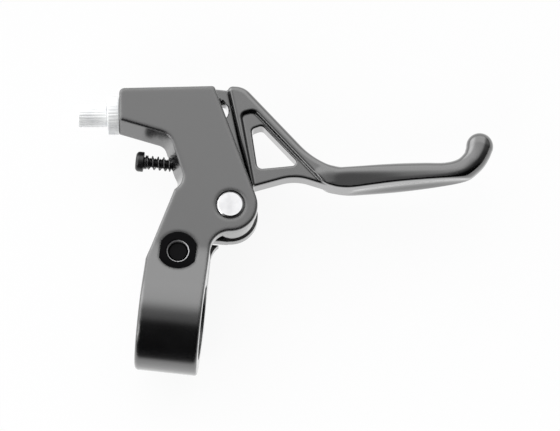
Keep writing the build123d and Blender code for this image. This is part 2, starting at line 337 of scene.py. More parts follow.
def coat(name: str, write: Callable[[Sheet], Sockets]) -> bpy.types.Material:
    """Make a material from the sockets that a finish works out.

    Args:
        name: The material's name.
        write: A finish's method, which gives a value or link for each shader socket.

    Returns:
        The finished material.
    """
    material = bpy.data.materials.new(name)
    material.use_nodes = True
    sheet = Sheet(material.node_tree)
    shader = sheet.add("ShaderNodeBsdfPrincipled", None, write(sheet))
    sheet.add("ShaderNodeOutputMaterial", None, {"Surface": shader.outputs[0]})
    return material


@dataclass(frozen=True)
class Axis:
    """A line that turned pieces are built round; start in metres, along and up of length 1."""

    start: Vector
    along: Vector
    up: Vector

    def point(self, s_mm: float, r_mm: float, angle: float) -> Vector:
        """Give the point at a distance along and out from the axis, at an angle from up.

        Args:
            s_mm: Distance along the axis.
            r_mm: Distance out from it.
            angle: Turn from the up direction, in radians.

        Returns:
            The point in metres.
        """
        side = self.along.cross(self.up)
        out = self.up * math.cos(angle) + side * math.sin(angle)
        return self.start + self.along * (s_mm * MM) + out * (r_mm * MM)


def skin(name: str, rings: Sequence[Sequence[Vector]], looped: bool, crease_deg: float = 32) -> Piece:
    """Join rings of points into one closed mesh.

    Args:
        name: The piece's name.
        rings: Rings with the same number of points each.
        looped: Whether the last ring joins the first; if not, both ends are capped.
        crease_deg: Edges that turn by more than this stay sharp.

    Returns:
        The new object, in the scene.
    """
    mesh = bmesh.new()
    rows = [[mesh.verts.new(point) for point in ring] for ring in rings]
    pairs = list(zip(rows, rows[1:]))
    if looped:
        pairs.append((rows[-1], rows[0]))
    for first, second in pairs:
        for i, corner in enumerate(first):
            j = (i + 1) % len(first)
            mesh.faces.new((corner, first[j], second[j], second[i]))
    if not looped:
        mesh.faces.new(rows[0])
        mesh.faces.new(list(reversed(rows[-1])))
    bmesh.ops.remove_doubles(mesh, verts=mesh.verts, dist=WELD_MM * MM)
    bmesh.ops.recalc_face_normals(mesh, faces=mesh.faces)
    for face in mesh.faces:
        face.smooth = True
    for edge in mesh.edges:
        edge.smooth = edge.calc_face_angle(0.0) < math.radians(crease_deg)
    data = bpy.data.meshes.new(name)
    mesh.to_mesh(data)
    mesh.free()
    return stand(name, data)


def turned(name: str, axis: Axis, outline: Outline, shape: Shape, segments: int, looped: bool) -> Piece:
    """Turn an outline round an axis.

    Args:
        name: The piece's name.
        axis: The axis of turning.
        outline: Distances along and out, in mm, in order along the surface.
        shape: Gives the distance along and the radius at a point of the outline and an angle.
        segments: How many points each ring has.
        looped: Whether the outline closes on itself, as for a piece with a hole through it.

    Returns:
        The new object.
    """
    angles = [TURN * i / segments for i in range(segments)]
    rings = [[axis.point(*shape(s, r, a), a) for a in angles] for s, r in outline]
    return skin(name, rings, looped)


def run(start: float, end: float, radius: float, step: float) -> list[Pair]:
    """Give evenly spaced outline points along a straight run, for a thread to be cut in."""
    count = max(2, round(abs(end - start) / step))
    return [(start + (end - start) * i / count, radius) for i in range(count + 1)]


def arc(s: float, r: float, radius: float, start_deg: float, end_deg: float, count: int = 5) -> list[Pair]:
    """Give outline points on an arc about (s, r); 0 degrees points along, 90 degrees points out."""
    turns = [math.radians(start_deg + (end_deg - start_deg) * i / count) for i in range(count + 1)]
    return [(s + radius * math.cos(t), r + radius * math.sin(t)) for t in turns]


@dataclass(frozen=True)
class Thread:
    """A right-hand screw thread with V flanks and a flat crest; depth and run-in in pitches."""

    pitch: float
    start: float
    end: float
    depth: float = 0.55
    run_in: float = 0.6
    # The groove's share of that depth at its middle, cut off at 1, and its fall over one pitch
    root: float = 1.15
    flank: float = 2.9

    def cut(self, s: float, r: float, angle: float) -> float:
        """Give the radius with the thread cut in.

        Args:
            s: Distance along the axis, in mm.
            r: The plain radius, in mm.
            angle: Turn about the axis.

        Returns:
            The radius, less the depth of the thread there.
        """
        phase = (s / self.pitch - angle / TURN) % 1.0
        groove = min(1.0, max(0.0, self.root - abs(phase - 0.5) * self.flank))
        inside = min(s - self.start, self.end - s) / (self.run_in * self.pitch)
        return r - self.depth * self.pitch * groove * min(1.0, max(0.0, inside))


@dataclass(frozen=True)
class Flutes:
    """Round grooves along a knurled rim, as a form tool leaves them."""

    count: int
    cutter: float = 0.26
    lift: float = 0.16

    def cut(self, r: float, rim: float, angle: float) -> float:
        """Give the radius with the flutes cut in.

        Args:
            r: The plain radius, in mm.
            rim: The rim's full radius, in mm, which the cutter is set from.
            angle: Turn about the axis.

        Returns:
            The radius at that angle.
        """
        spacing = TURN / self.count
        off = (angle + spacing / 2) % spacing - spacing / 2
        centre = rim + self.lift
        room = self.cutter**2 - (centre * math.sin(off)) ** 2
        return min(r, centre * math.cos(off) - math.sqrt(room)) if room > 0 else r


def least(a: Array, b: Array, round_mm: float) -> Array:
    """Join two solids, given by their distances, with a soft fillet between them."""
    share = np.clip(0.5 + 0.5 * (b - a) / round_mm, 0, 1)
    return b + (a - b) * share - round_mm * share * (1 - share)


def most(a: Array, b: Array, round_mm: float) -> Array:
    """Keep what two solids share, with a soft round along the edge."""
    return -least(-a, -b, round_mm)


def plate(plan: Array, z: Array, half: Array | float, edge: Array | float) -> Array:
    """Give the distance to a plate with rounded edges.

    Args:
        plan: Distance to the plate's outline in plan.
        z: Height.
        half: Half the plate's thickness.
        edge: Radius of its edges.

    Returns:
        The distance, negative inside.
    """
    a = plan + edge
    b = np.abs(z) - half + edge
    return np.hypot(np.maximum(a, 0), np.maximum(b, 0)) + np.minimum(np.maximum(a, b), 0) - edge


def rounded(corners: Plan) -> list[Pair]:
    """Round the corners of an outline.

    Args:
        corners: Each corner's place and radius, in order.

    Returns:
        Points along the rounded outline.
    """
    points = []
    for i, (x, y, radius) in enumerate(corners):
        corner = Vector((x, y))
        back = (Vector(corners[i - 1][:2]) - corner).normalized()
        ahead = (Vector(corners[(i + 1) % len(corners)][:2]) - corner).normalized()
        half = back.angle(ahead) / 2
        middle = corner + (back + ahead).normalized() * (radius / math.sin(half))
        start = corner + back * (radius / math.tan(half)) - middle
        bend = math.pi - 2 * half
        side = 1 if back.x * ahead.y - back.y * ahead.x < 0 else -1
        steps = max(1, round(math.degrees(bend) / CORNER_STEP_DEG)) if radius else 0
        for k in range(steps + 1):
            turn = side * bend * k / steps if steps else 0
            c, s = math.cos(turn), math.sin(turn)
            points.append((middle.x + c * start.x - s * start.y, middle.y + s * start.x + c * start.y))
    return points


def on_edge(x: Array, y: Array, start: Sequence[float], end: Sequence[float]) -> tuple[Array, Array]:
    """Find the place on a straight edge that is nearest to each point.

    Args:
        x: The points' places across.
        y: Their places ahead.
        start: Where the edge starts, across and ahead.
        end: Where it ends.

    Returns:
        How far along the edge that place is, from 0 to 1, and its squared distance.
    """
    ax, ay = start
    ex, ey = end[0] - ax, end[1] - ay
    t = np.clip(((x - ax) * ex + (y - ay) * ey) / max(ex * ex + ey * ey, GUARD**2), 0, 1)
    return t, (x - ax - t * ex) ** 2 + (y - ay - t * ey) ** 2


def outline_distance(x: Array, y: Array, points: Outline) -> Array:
    """Give the distance to an outline in plan.

    Args:
        x: Places to measure at, across.
        y: The same places, ahead.
        points: The outline's corners, in order.

    Returns:
        The distance, negative inside the outline.
    """
    nearest = np.full(np.broadcast(x, y).shape, np.inf)
    inside = np.zeros(nearest.shape, bool)
    for start, end in zip(points, [*points[1:], points[0]]):
        nearest = np.minimum(nearest, on_edge(x, y, start, end)[1])
        (ax, ay), (bx, by) = start, end
        if ay != by:
            inside ^= ((ay > y) != (by > y)) & (x < (bx - ax) * (y - ay) / (by - ay) + ax)
    return np.where(inside, -1, 1) * np.sqrt(nearest)


def net(name: str, field_at: Field, low: Sequence[float], high: Sequence[float], cell: float) -> Piece:
    """Wrap a mesh round a solid that is given by its distance at every point.

    Args:
        name: The piece's name.
        field_at: Gives the distance, in mm, at arrays of points; negative inside.
        low: Lowest corner of the box to search, in mm.
        high: Highest corner.
        cell: Size of the net's cells, in mm.

    Returns:
        The new object, with the solid's own normals.
    """
    probe, pulls, least_slope = 0.02, 3, 0.2
    axes = [np.arange(a, b + cell, cell) for a, b in zip(low, high)]
    values = field_at(axes[0][:, None, None], axes[1][None, :, None], axes[2][None, None, :])
    cells = tuple(n - 1 for n in values.shape)
    total = np.zeros((*cells, 3))
    count = np.zeros(cells)
    offsets = [(i, j, k) for i in (0, 1) for j in (0, 1) for k in (0, 1)]

    def corner(offset: tuple[int, int, int]) -> Array:
        """Give the values at one corner of every cell."""
        return values[tuple(slice(o, o + n) for o, n in zip(offset, cells))]

    for first in offsets:
        for axis in range(3):
            if first[axis]:
                continue
            second = tuple(1 if i == axis else o for i, o in enumerate(first))
            a, b = corner(first), corner(second)
            crossed = (a < 0) != (b < 0)
            share = np.where(crossed, a / np.where(crossed, a - b, 1), 0)
            place = np.broadcast_to(np.array(first, float), (*cells, 3)).copy()
            place[..., axis] = share
            total += place * crossed[..., None]
            count += crossed
    used = count > 0
    index = np.full(cells, -1)
    index[used] = np.arange(used.sum())
    points = (np.argwhere(used) + total[used] / count[used][:, None]) * cell + np.array(low)
    quads = []
    for axis in range(3):
        u, v = (axis + 1) % 3, (axis + 2) % 3
        here = tuple(slice(0 if i == axis else 1, n) for i, n in enumerate(cells))
        a = values[here]
        ahead = tuple(slice(s.start + (i == axis), s.stop + (i == axis)) for i, s in enumerate(here))
        b = values[ahead]
        for into in (True, False):
            found = np.argwhere(((a < 0) & (b >= 0)) if into else ((a >= 0) & (b < 0)))
            found += np.array([s.start for s in here])
            ring = []
            for du, dv in ((0, 0), (1, 0), (1, 1), (0, 1)):
                shift = np.zeros(3, int)
                shift[u], shift[v] = du, dv
                ring.append(index[tuple((found - shift).T)])
            quads.append(np.stack(ring if into else ring[::-1], 1))

    def slope_at(places: Array) -> Array:
        """Give the solid's slope at places on the net."""
        sides = [(places + d, places - d) for d in np.eye(3) * probe]
        return np.stack([(field_at(*a.T) - field_at(*b.T)) / (2 * probe) for a, b in sides], 1)

    for _ in range(pulls):
        slope = slope_at(points)
        length = np.maximum(np.linalg.norm(slope, axis=1, keepdims=True), least_slope)
        points -= np.clip(field_at(*points.T)[:, None] / length, -cell / 2, cell / 2) * slope / length
    slope = slope_at(points)
    normals = slope / np.maximum(np.linalg.norm(slope, axis=1, keepdims=True), GUARD)
    data = bpy.data.meshes.new(name)
    data.from_pydata((points * MM).tolist(), [], np.concatenate(quads).tolist())
    data.validate()
    for face in data.polygons:
        face.use_smooth = True
    data.normals_split_custom_set_from_vertices(normals.tolist())
    return stand(name, data)


@dataclass(frozen=True)
class CastPaint:
    """Satin black paint over a blasted casting."""

    colour: Colour = (0.004, 0.004, 0.0043)
    faded: Colour = (0.007, 0.007, 0.0074)
    roughness: float = 0.25
    dimple_mm: float = 0.9
    grain_mm: float = 0.16
    depth_mm: float = 0.004
    edge_mm: float = 1.6

    def write(self, sheet: Sheet) -> Sockets:
        """Work out the paint's sockets: orange peel, fine grain and a slightly uneven sheen.

        Args:
            sheet: The material's node tree.

        Returns:
            A value or link for each shader socket.
        """
        place = sheet.place()
        peel = sheet.noise(place, self.dimple_mm)
        grain = sheet.noise(place, self.grain_mm, detail=1.0)
        cloud = sheet.noise(place, width_mm=15.0, detail=3.0)
        return {
            "Base Color": sheet.mix(cloud.step(*EARLY), self.colour, self.faded),
            "Roughness": around(self.roughness, (cloud, 0.06), (grain, 0.05)),
            "IOR": 2.1,
            "Coat Weight": 1.0,
            "Coat Roughness": 0.18,
            "Normal": sheet.bump(peel * 0.7 + grain * 0.3, self.depth_mm, self.edge_mm),
        }


@dataclass(frozen=True)
class GlossPaint:
    """Gloss black paint over a smoothed casting, bare in the one bore that is drilled after it."""

    bore: Axis
    bore_r_mm: float
    bare_rim_mm: Pair = (0.04, 0.1)
    colour: Colour = (0.003, 0.003, 0.0033)
    faded: Colour = (0.005, 0.005, 0.0054)
    bare: Colour = (0.82, 0.82, 0.83)
    roughness: float = 0.14
    dimple_mm: float = 1.6
    depth_mm: float = 0.003

    def write(self, sheet: Sheet) -> Sockets:
        """Work out the paint's sockets: a long soft orange peel and a clean sheen.

        Args:
            sheet: The material's node tree.

        Returns:
            A value or link for each shader socket.
        """
        place = sheet.place()
        peel = sheet.noise(place, self.dimple_mm, detail=1.0)
        haze = sheet.noise(place, width_mm=9.0, detail=4.0)
        rim = [(self.bore_r_mm + out) * MM for out in self.bare_rim_mm]
        painted = sheet.out(place, self.bore).step(*rim)
        black = sheet.mix(haze.step(*EARLY), self.colour, self.faded)
        return {
            "Base Color": sheet.mix(painted, self.bare, black),
            "Metallic": 1 - painted,
            "Roughness": around(self.roughness, (haze, 0.06)),
            "IOR": 2.1,
            "Coat Weight": painted,
            "Coat Roughness": 0.05,
            "Normal": sheet.bump(peel, self.depth_mm),
        }


@dataclass(frozen=True)
class TurnedMetal:
    """Bare metal off the lathe, with fine marks round its axis."""

    axis: Axis
    colour: Colour = (0.86, 0.87, 0.87)
    dull: Colour = (0.8, 0.81, 0.82)
    roughness: float = 0.4
    metallic: float = 1.0
    mark_mm: float = 0.09
    depth_mm: float = 0.003

    def write(self, sheet: Sheet) -> Sockets:
        """Work out the metal's sockets: lathe marks on the sides and rings on the ends.

        Args:
            sheet: The material's node tree.

        Returns:
            A value or link for each shader socket.
        """
        place = sheet.place()
        marks = sheet.noise(sheet.along(place, self.axis), self.mark_mm)
        rings = sheet.noise(sheet.out(place, self.axis), self.mark_mm)
        cloud = sheet.noise(place, width_mm=3.0, detail=3.0)
        return {
            "Base Color": sheet.mix(cloud.step(*LATE), self.colour, self.dull),
            "Metallic": self.metallic,
            "Roughness": around(self.roughness, (marks, 0.1), (cloud, 0.1)),
            "Normal": sheet.bump((marks + rings) * 0.5, self.depth_mm),
        }


@dataclass(frozen=True)
class BlackOxide:
    """Blackened steel, bare again where an edge was cut after blackening."""

    axis: Axis
    colour: Colour = (0.005, 0.005, 0.0055)
    bare: Colour = (0.62, 0.62, 0.63)
    roughness: float = 0.33
    ior: float = 1.6
    bare_from_mm: float = 0.0
    bare_to_mm: float = 0.0
    bare_edge_mm: float = 0.05

    def write(self, sheet: Sheet) -> Sockets:
        """Work out the oxide's sockets: a mottled black, and a bright band round the axis.

        Args:
            sheet: The material's node tree.

        Returns:
            A value or link for each shader socket.
        """
        place = sheet.place()
        mottle = sheet.noise(place, width_mm=0.8, detail=4.0)
        fine = sheet.noise(place, width_mm=0.12, detail=1.0)
        out = sheet.out(place, self.axis)
        ends = (self.bare_from_mm, self.bare_to_mm)
        inner, outer = (out.step(end * MM, (end + self.bare_edge_mm) * MM) for end in ends)
        bright = inner - outer
        return {
            "Base Color": sheet.mix(bright, self.colour, self.bare),
            "Metallic": bright,
            "Roughness": around(self.roughness, (mottle, 0.12)) + bright * 0.1,
            "IOR": self.ior,
            "Normal": sheet.bump(mottle * 0.6 + fine * 0.4, depth_mm=0.004),
        }


@dataclass(frozen=True)
class DrawnWire:
    """Dark oiled spring wire with the fine streaks of drawing."""

    colour: Colour = (0.012, 0.012, 0.013)
    dull: Colour = (0.03, 0.03, 0.031)
    roughness: float = 0.2

    def write(self, sheet: Sheet) -> Sockets:
        """Work out the wire's sockets.

        Args:
            sheet: The material's node tree.

        Returns:
            A value or link for each shader socket.
        """
        streak = sheet.noise(sheet.place(), width_mm=0.25, detail=3.0)
        return {
            "Base Color": sheet.mix(streak.step(*LATE), self.colour, self.dull),
            "IOR": 1.9,
            "Roughness": around(self.roughness, (streak, 0.14)),
            "Normal": sheet.bump(streak, depth_mm=0.002),
        }


@dataclass(frozen=True)
class MouldedPlastic:
    """Cream bearing plastic as it leaves the mould."""

    colour: Colour = (0.72, 0.70, 0.64)
    shade: Colour = (0.64, 0.62, 0.56)
    roughness: float = 0.5

    def write(self, sheet: Sheet) -> Sockets:
        """Work out the plastic's sockets.

        Args:
            sheet: The material's node tree.

        Returns:
            A value or link for each shader socket.
        """
        place = sheet.place()
        cloud = sheet.noise(place, width_mm=2.5, detail=3.0)
        grain = sheet.noise(place, width_mm=0.15, detail=1.0)
        return {
            "Base Color": sheet.mix(cloud.step(*EARLY), self.colour, self.shade),
            "Roughness": around(self.roughness, (grain, 0.1)),
            "Normal": sheet.bump(grain, depth_mm=0.004),
        }


def paint(piece: Piece, material: bpy.types.Material) -> None:
    """Give a piece one material in place of any it has.

    Args:
        piece: The piece to dress.
        material: Its new material.
    """
    piece.data.materials.clear()
    piece.data.materials.append(material)
    log.info("dressed %s with %s", piece.name, material.name)


def upright(node: str) -> Axis:
    """Give the upright axis through the middle of a node.

    Args:
        node: The node's name.

    Returns:
        The axis, starting at the node's lowest height.
    """
    low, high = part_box(node)
    start = Vector(((low.x + high.x) / 2, (low.y + high.y) / 2, low.z))
    return Axis(start, Vector((0, 0, 1)), Vector((0, 1, 0)))


@dataclass
class Bracket:
    """The casting that clamps to the bar and carries everything else."""

    finish: CastPaint = field(default_factory=CastPaint)

    def dress(self) -> None:
        """Paint the casting."""
        paint(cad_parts["bracket"], coat("cast_paint", self.finish.write))


@dataclass
class LeverArm:
    """The lever casting: tongue, triangle frame, rounded blade and bent tip; sizes in mm."""

    pivot: Pair = (13.8, 34.85)
    nipple: Pair = (6.25, 64.4)
    heel: Pair = (4.4, 47.296)
    hub_r: float = 7.6
    nipple_r: float = 3.6
    nipple_wall: float = 2.6
    heel_r: float = 2.0
    bore_r: float = 3.5
    ear_room_r: float = 8.7
    tongue_half: float = 3.7
    slit_half: float = 1.1
    slit_l: float = 12.0
    slit_turns_deg: Pair = (180, 214)
    frame_half: float = 5.0
    inner_edge: float = 1.5
    outer_edge: float = 1.8
    # Where the frame's edges begin to grow rounder, and the slant and width of that change
    edge_from: Pair = (13.3, 57.7)
    edge_slant: float = 0.34
    edge_ease: float = 6.0
    # Where the frame begins to thin into the blade, over what length and how fast
    thin_from: float = 43.0
    thin_l: float = 6.0
    thin_rate: float = 0.5
    web_half: float = 3.6
    back_at: Pair = (45.0, 44.1)
    back_tilt_deg: float = 12.3
    back_edge: float = 0.55
    hollow_mid: float = 23.0
    hollow_reach: float = 61.0
    hollow_r: float = 8.1
    hollow_out: float = 7.4
    hollow_z: float = -1.0
    # How far the blade's top leans to the back and how full its oval is, by the place along it
    lean: Profile = ((5, 20, 34, 42), (0.16, 0.07, 0.05, 0.0))
    lean_from: float = 2.0
    lean_range: Pair = (-3.0, 4.0)
    fullness: Profile = ((3, 16, 28, 42), (4.2, 3.0, 2.7, 2.3))
    cell: float = 0.36
    room: float = 2.5
    frame_plan: Plan = (
        (8.3, 72.5, 1.6), (13.7, 72.85, 6), (39.6, 50.35, 24), (49, 50.7, 0), (49, 45.2, 0),
        (20, 40.5, 0), (13.9, 55.6, 40),
    )
    # What is cut away behind the lever: the dip under the frame and the blade's flat back
    back_plan: Plan = (
        (20.3, 30, 0), (19.9, 42.4, 0.5), (31.8, 47.2, 14), (46.2, 44.3, 20), (95, 54.98, 0), (95, 30, 0),
    )
    pocket_plan: Plan = ((13.6, 64.2, 1.6), (17.4, 65.6, 2.2), (42, 44.3, 0), (42, 36, 0), (21.9, 36, 0))
    window_plan: Plan = ((17.3, 60.0, 1.2), (20.3, 61.5, 1.4), (33.0, 50.6, 1.2), (20.5, 48.0, 1.6))
    boss_plan: Plan = ((3, 60, 0.8), (3, 71.2, 0.8), (9.6, 71.2, 0.8), (11, 60, 0.8))
    # Middle line of the blade from root to tip, with its half depth and half height there
    blade_line: tuple[tuple[float, float, float, float], ...] = (
        (41.6, 45.8, 4.95, 4.6), (50.4, 47.5, 4.72, 5.75), (61.2, 49.65, 4.6, 6.9), (70.0, 51.4, 4.25, 6.4),
        (76.8, 53.0, 3.7, 5.3), (81.4, 55.2, 3.5, 4.45), (84.2, 58.2, 3.6, 4.25), (85.3, 60.8, 3.85, 4.15),
        (85.7, 63.0, 4.1, 4.1),
    )

    def blade_stations(self, per_span: int = 10) -> Array:
        """Give close stations along the blade's middle line, on a smooth curve through its rows.

        Args:
            per_span: How many stations there are from one row to the next.

        Returns:
            The stations' places, half depths and half heights.
        """
        rows = np.array(self.blade_line)
        rows = np.vstack([2 * rows[0] - rows[1], rows, 2 * rows[-1] - rows[-2]])
        stations = []
        for a, b, c, d in zip(rows, rows[1:], rows[2:], rows[3:]):
            for t in np.arange(per_span) / per_span:
                bend = (2 * a - 5 * b + 4 * c - d) * t**2 + (3 * b - a - 3 * c + d) * t**3
                stations.append(b + 0.5 * ((c - a) * t + bend))
        return np.array([*stations, rows[-2]])

    def blade(self, x: Array, y: Array, z: Array) -> Array:
        """Give the distance to the blade: oval sections along the middle line, hollowed at the back.

        Args:
            x: Places along the bar, in mm.
            y: Places ahead of the bar.
            z: Heights.

        Returns:
            The distance, negative inside the blade.
        """
        stations = self.blade_stations()
        shape = np.broadcast(x, y).shape
        nearest, deep, high = np.full(shape, np.inf), np.ones(shape), np.ones(shape)
        for first, second in zip(stations, stations[1:]):
            t, away = on_edge(x, y, first[:2], second[:2])
            nearer = away < nearest
            nearest = np.where(nearer, away, nearest)
            deep = np.where(nearer, first[2] + t * (second[2] - first[2]), deep)
            high = np.where(nearer, first[3] + t * (second[3] - first[3]), high)
        along, behind = self.from_back(x, y)
        high = high + np.interp(along, *self.lean) * np.clip(behind - self.lean_from, *self.lean_range)
        power = np.interp(along, *self.fullness)
        across, up = np.sqrt(nearest) / deep, np.abs(z) / high
        out = np.maximum((across**power + up**power) ** (1 / power), GUARD)
        fall = power - 1
        steep = np.hypot((across / out) ** fall / deep, (up / out) ** fall / high)
        oval = (out - 1) / np.maximum(steep, GUARD)
        swell = self.hollow_r * (1 - ((along - self.hollow_mid) / self.hollow_reach) ** 2)
        hollow = np.hypot(behind + self.hollow_out, z - self.hollow_z) - swell
        return most(oval, -hollow, round_mm=0.4)

    def from_back(self, x: Array, y: Array) -> tuple[Array, Array]:
        """Measure from the blade's flat back.

        Args:
            x: Places along the bar, in mm.
            y: Places ahead of the bar.

        Returns:
            The distance along the back and the distance ahead of it.
        """
        tilt = math.radians(self.back_tilt_deg)
        dx, dy = x - self.back_at[0], y - self.back_at[1]
        return dx * math.cos(tilt) + dy * math.sin(tilt), dy * math.cos(tilt) - dx * math.sin(tilt)

    def tongue(self, x: Array, y: Array) -> Array:
        """Give the distance in plan to the tongue: hub, nipple boss and the heel on the reach screw.

        Args:
            x: Places along the bar, in mm.
            y: Places ahead of the bar.

        Returns:
            The distance, negative inside the tongue.
        """
        t, away = on_edge(x, y, self.pivot, self.nipple)
        arm = np.sqrt(away) - (self.hub_r + t * (self.nipple_r + self.nipple_wall - self.hub_r))
        heel = np.hypot(x - self.heel[0], y - self.heel[1]) - self.heel_r
        boss = outline_distance(x, y, rounded(self.boss_plan))
        return least(least(arm, heel, round_mm=0.8), boss, round_mm=0.3)

    def solid(self, x: Array, y: Array, z: Array) -> Array:
        """Give the distance to the whole lever.

        Args:
            x: Places along the bar, in mm.
            y: Places ahead of the bar.
            z: Heights.

        Returns:
            The distance, negative inside the lever.
        """
        from_pivot = np.hypot(x - self.pivot[0], y - self.pivot[1])
        plan = np.maximum(outline_distance(x, y, rounded(self.frame_plan)), self.ear_room_r - from_pivot)
        past_ears = x - self.edge_from[0] + self.edge_slant * (y - self.edge_from[1])
        rounder = np.clip(past_ears / self.edge_ease, 0, 1)
        edge = self.inner_edge + (self.outer_edge - self.inner_edge) * rounder
        half = self.frame_half - self.thin_rate * np.clip(x - self.thin_from, 0, self.thin_l)
        casting = least(plate(plan, z, half, edge), self.blade(x, y, z), round_mm=1.4)
        casting = most(casting, -outline_distance(x, y, rounded(self.back_plan)), self.back_edge)
        sunk = self.web_half - np.abs(z)
        pocket = most(outline_distance(x, y, rounded(self.pocket_plan)), sunk, round_mm=0.7)
        casting = most(casting, -pocket, round_mm=0.8)
        casting = most(casting, -outline_distance(x, y, rounded(self.window_plan)), round_mm=0.7)
        tongue = plate(self.tongue(x, y), z, self.tongue_half, edge=0.4)
        casting = least(casting, tongue, round_mm=0.5)
        nx, ny = self.nipple
        holes = np.minimum(from_pivot - self.bore_r, np.hypot(x - nx, y - ny) - self.nipple_r)
        turns = [math.radians(angle) for angle in self.slit_turns_deg]
        swing = [(nx + self.slit_l * math.cos(turn), ny + self.slit_l * math.sin(turn)) for turn in turns]
        slit = np.maximum(outline_distance(x, y, [self.nipple, *swing]), np.abs(z) - self.slit_half)
        return np.maximum(casting, -np.minimum(holes, slit))

    def dress(self) -> None:
        """Build the softly rounded lever in place of the plain one and paint it."""
        low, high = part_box("lever")
        room = Vector((self.room, self.room, self.room))
        piece = net("lever_cast", self.solid, low / MM - room, high / MM + room, self.cell)
        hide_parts("lever")
        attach(piece, Body.LEVER.value)
        bore = Axis(Vector((*self.nipple, 0)) * MM, Vector((0, 0, 1)), Vector((0, 1, 0)))
        paint(piece, coat("gloss_paint", GlossPaint(bore, self.nipple_r).write))


@dataclass
class Pivot:
    """The lever's pin, the clip that keeps it and the two bushes it turns in."""

    plating: Colour = (0.82, 0.82, 0.83)

    def dress(self) -> None:
        """Finish the pin bright, the clip black and the bushes in plastic."""
        axis = upright("pivot_pin")
        pin = TurnedMetal(axis, colour=self.plating, dull=(0.7, 0.7, 0.71), roughness=0.3)
        paint(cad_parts["pivot_pin"], coat("plated_pin", pin.write))
        paint(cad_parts["pivot_clip"], coat("black_clip", BlackOxide(axis).write))
        plastic = coat("bush_plastic", MouldedPlastic().write)
        for side in ("near", "far"):
            paint(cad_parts[f"pivot_bush_{side}"], plastic)


@dataclass
class ClampFastening:
    """The nut, bolt and washer that close the clamp on the bar; sizes in mm."""

    head_r: float = 5.0
    head_t: float = 6.0
    shank_r: float = 3.0
    socket_flats: float = 5.0
    socket_depth: float = 3.4
    thread_from: float = 9.0
    chamfer: float = 0.5
    head_round: float = 0.7
    neck_round: float = 0.4
    neck_l: float = 0.6
    lead: float = 0.25
    rim: float = 0.2
    knurls: Flutes = field(default_factory=lambda: Flutes(36, 0.34, 0.2))

    def build_bolt(self) -> Piece:
        """Build the socket-head bolt with its knurled head, hexagon socket and thread.

        Returns:
            The bolt, riding on the bracket in place of the plain one.
        """
        axis = upright("clamp_bolt")
        low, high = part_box("clamp_bolt")
        end = (high.z - low.z) / MM
        step = 0.1
        thread = Thread(pitch=1.0, start=self.thread_from, end=end - step)
        hexagon = self.socket_flats / 2
        mouth = hexagon + self.rim
        e, n = self.head_round, self.neck_round

        def shape(s: float, r: float, angle: float) -> Pair:
            """Knurl the head's side, give the socket six flats and thread the shank.

            Args:
                s: Distance along the axis, in mm.
                r: The outline's radius, in mm.
                angle: Turn about the axis.

            Returns:
                The distance along and the radius at that angle.
            """
            if s > self.head_t:
                return s, thread.cut(s, r, angle)
            if r > self.head_r - self.rim:
                return s, self.knurls.cut(r, self.head_r, angle)
            if r <= mouth:
                off = angle % (TURN / 6) - TURN / 12
                return s, r / math.cos(off)
            return s, r

        outline = [
            (self.socket_depth + self.chamfer, CENTRE_MM),
            (self.socket_depth, hexagon),
            (self.lead, hexagon),
            (0.0, mouth),
            (0.0, self.head_r - e - self.rim),
            *arc(e, self.head_r - e, e, 180, 90),
            (self.head_t - self.rim, self.head_r),
            (self.head_t, self.head_r - self.lead),
            (self.head_t, self.shank_r + n),
            *arc(self.head_t + n, self.shank_r + n, n, 180, 270, count=3)[1:],
            *run(self.head_t + self.neck_l, end - self.chamfer, self.shank_r, step),
            (end, self.shank_r - self.chamfer),
        ]
        piece = turned("bolt_threaded", axis, outline, shape, segments=144, looped=False)
        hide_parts("clamp_bolt")
        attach(piece, Body.BRACKET.value)
        return piece

    def dress(self) -> None:
        """Blacken the nut and bolt, plate the washer."""
        axis = upright("clamp_nut")
        nut = BlackOxide(axis, roughness=0.5, ior=1.08, bare_from_mm=3.03, bare_to_mm=3.3)
        paint(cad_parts["clamp_nut"], coat("black_nut", nut.write))
        bolt = BlackOxide(axis, roughness=0.45, ior=1.15)
        paint(self.build_bolt(), coat("black_bolt", bolt.write))
        washer = TurnedMetal(axis, colour=(0.76, 0.76, 0.77), roughness=0.34)
        paint(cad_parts["clamp_washer"], coat("plated_washer", washer.write))


